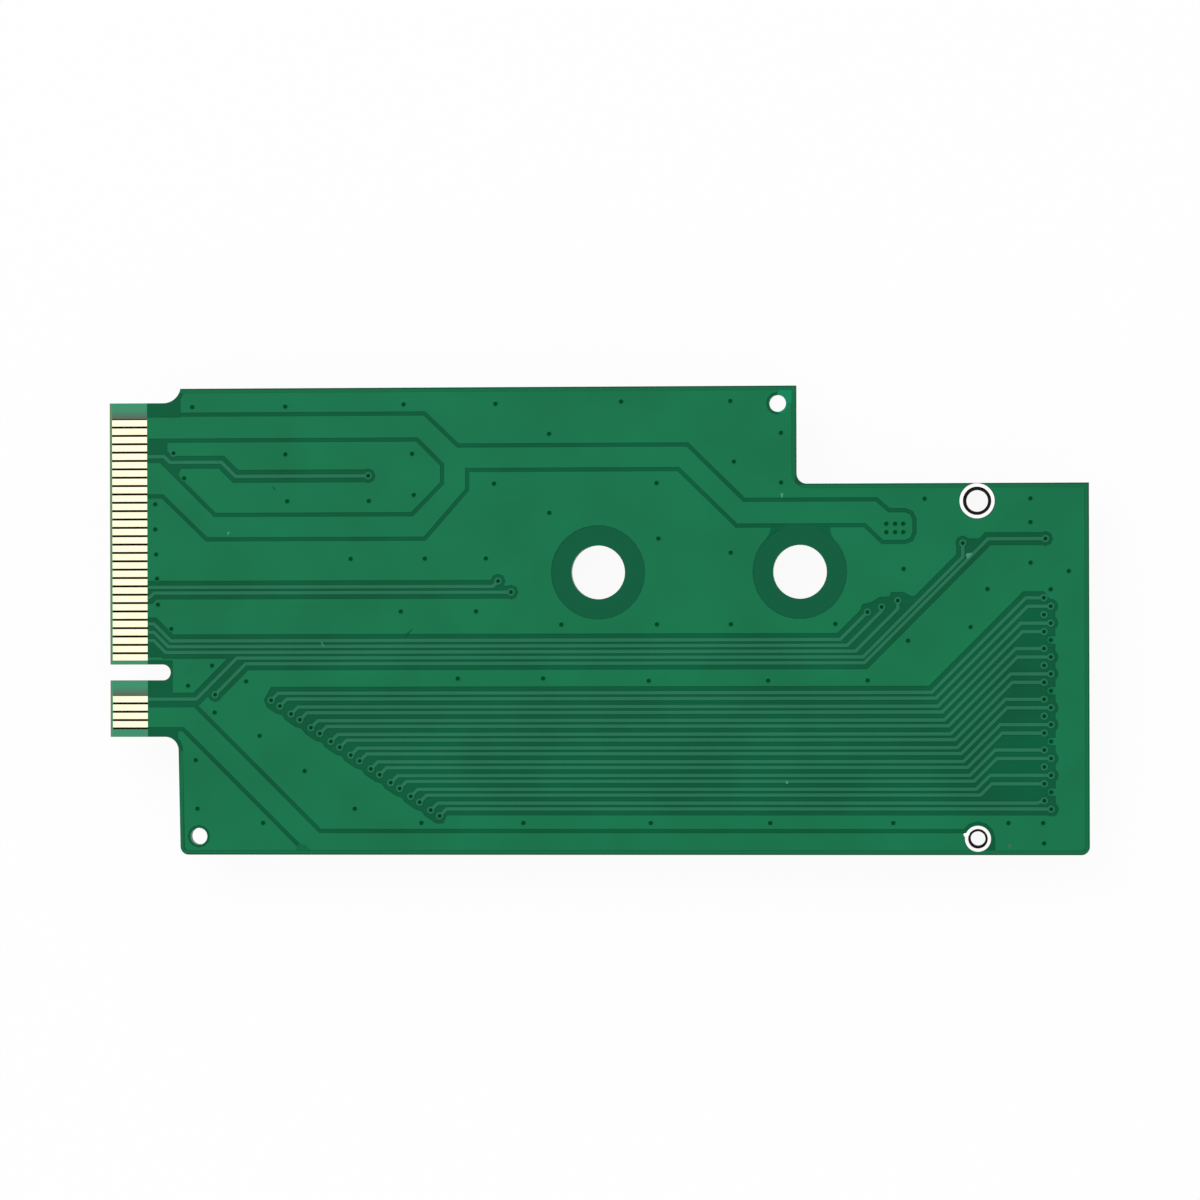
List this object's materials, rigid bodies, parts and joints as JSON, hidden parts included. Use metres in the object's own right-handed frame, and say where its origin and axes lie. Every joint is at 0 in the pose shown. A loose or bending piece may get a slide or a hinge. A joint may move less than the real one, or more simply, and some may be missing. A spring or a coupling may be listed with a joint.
{
  "type": "ssd adapter board",
  "caption": "Thin stepped circuit board that carries the pins of a keyed card edge to a socket on its hidden face, for fitting a longer solid-state drive.",
  "frame": {"origin": "middle of the card edge's tip: on the centreline of its contact rows, at half the board's thickness", "axes": "+X along the board from the card edge to the socket end, +Y across the board towards the stepped edge, +Z out of the face that carries the long tracks; the socket hangs on the -Z face"},
  "size_m": [0.0584, 0.0278, 0.004],
  "materials": {
    "laminate": "glass-epoxy laminate under a clear green lacquer, bare at the card edge",
    "lacquered_copper": "copper areas under the same green lacquer, satin",
    "lacquered_tracks": "copper tracks under the same green lacquer, satin",
    "gold": "gold plating, bright",
    "tinned_copper": "tinned copper, bright",
    "housing_plastic": "black glass-filled plastic, matt",
    "spring_gold": "gold-plated spring strip",
    "steel": "tinned sheet steel",
    "capacitor_ceramic": "sintered ceramic, matt",
    "tin": "tin, satin"
  },
  "bodies": {
    "root": {"laminate": "laminate", "front_ground_copper": "lacquered_copper", "front_supply_copper": "lacquered_copper", "front_pair_tracks": "lacquered_tracks", "front_control_tracks": "lacquered_tracks", "front_edge_contacts": "gold", "back_edge_contacts": "gold", "back_ground_copper": "lacquered_copper", "back_supply_copper": "lacquered_copper", "back_pair_tracks": "lacquered_tracks", "back_control_tracks": "lacquered_tracks", "socket_pads": "tinned_copper", "large_post_plating": "tinned_copper", "small_post_plating": "tinned_copper", "socket_housing": "housing_plastic", "socket_upper_contacts": "spring_gold", "socket_lower_contacts": "spring_gold", "socket_hold_downs": "steel", "capacitor_bodies": "capacitor_ceramic", "capacitor_terminals": "tin", "capacitor_solder": "tin"}
  },
  "joints": []
}
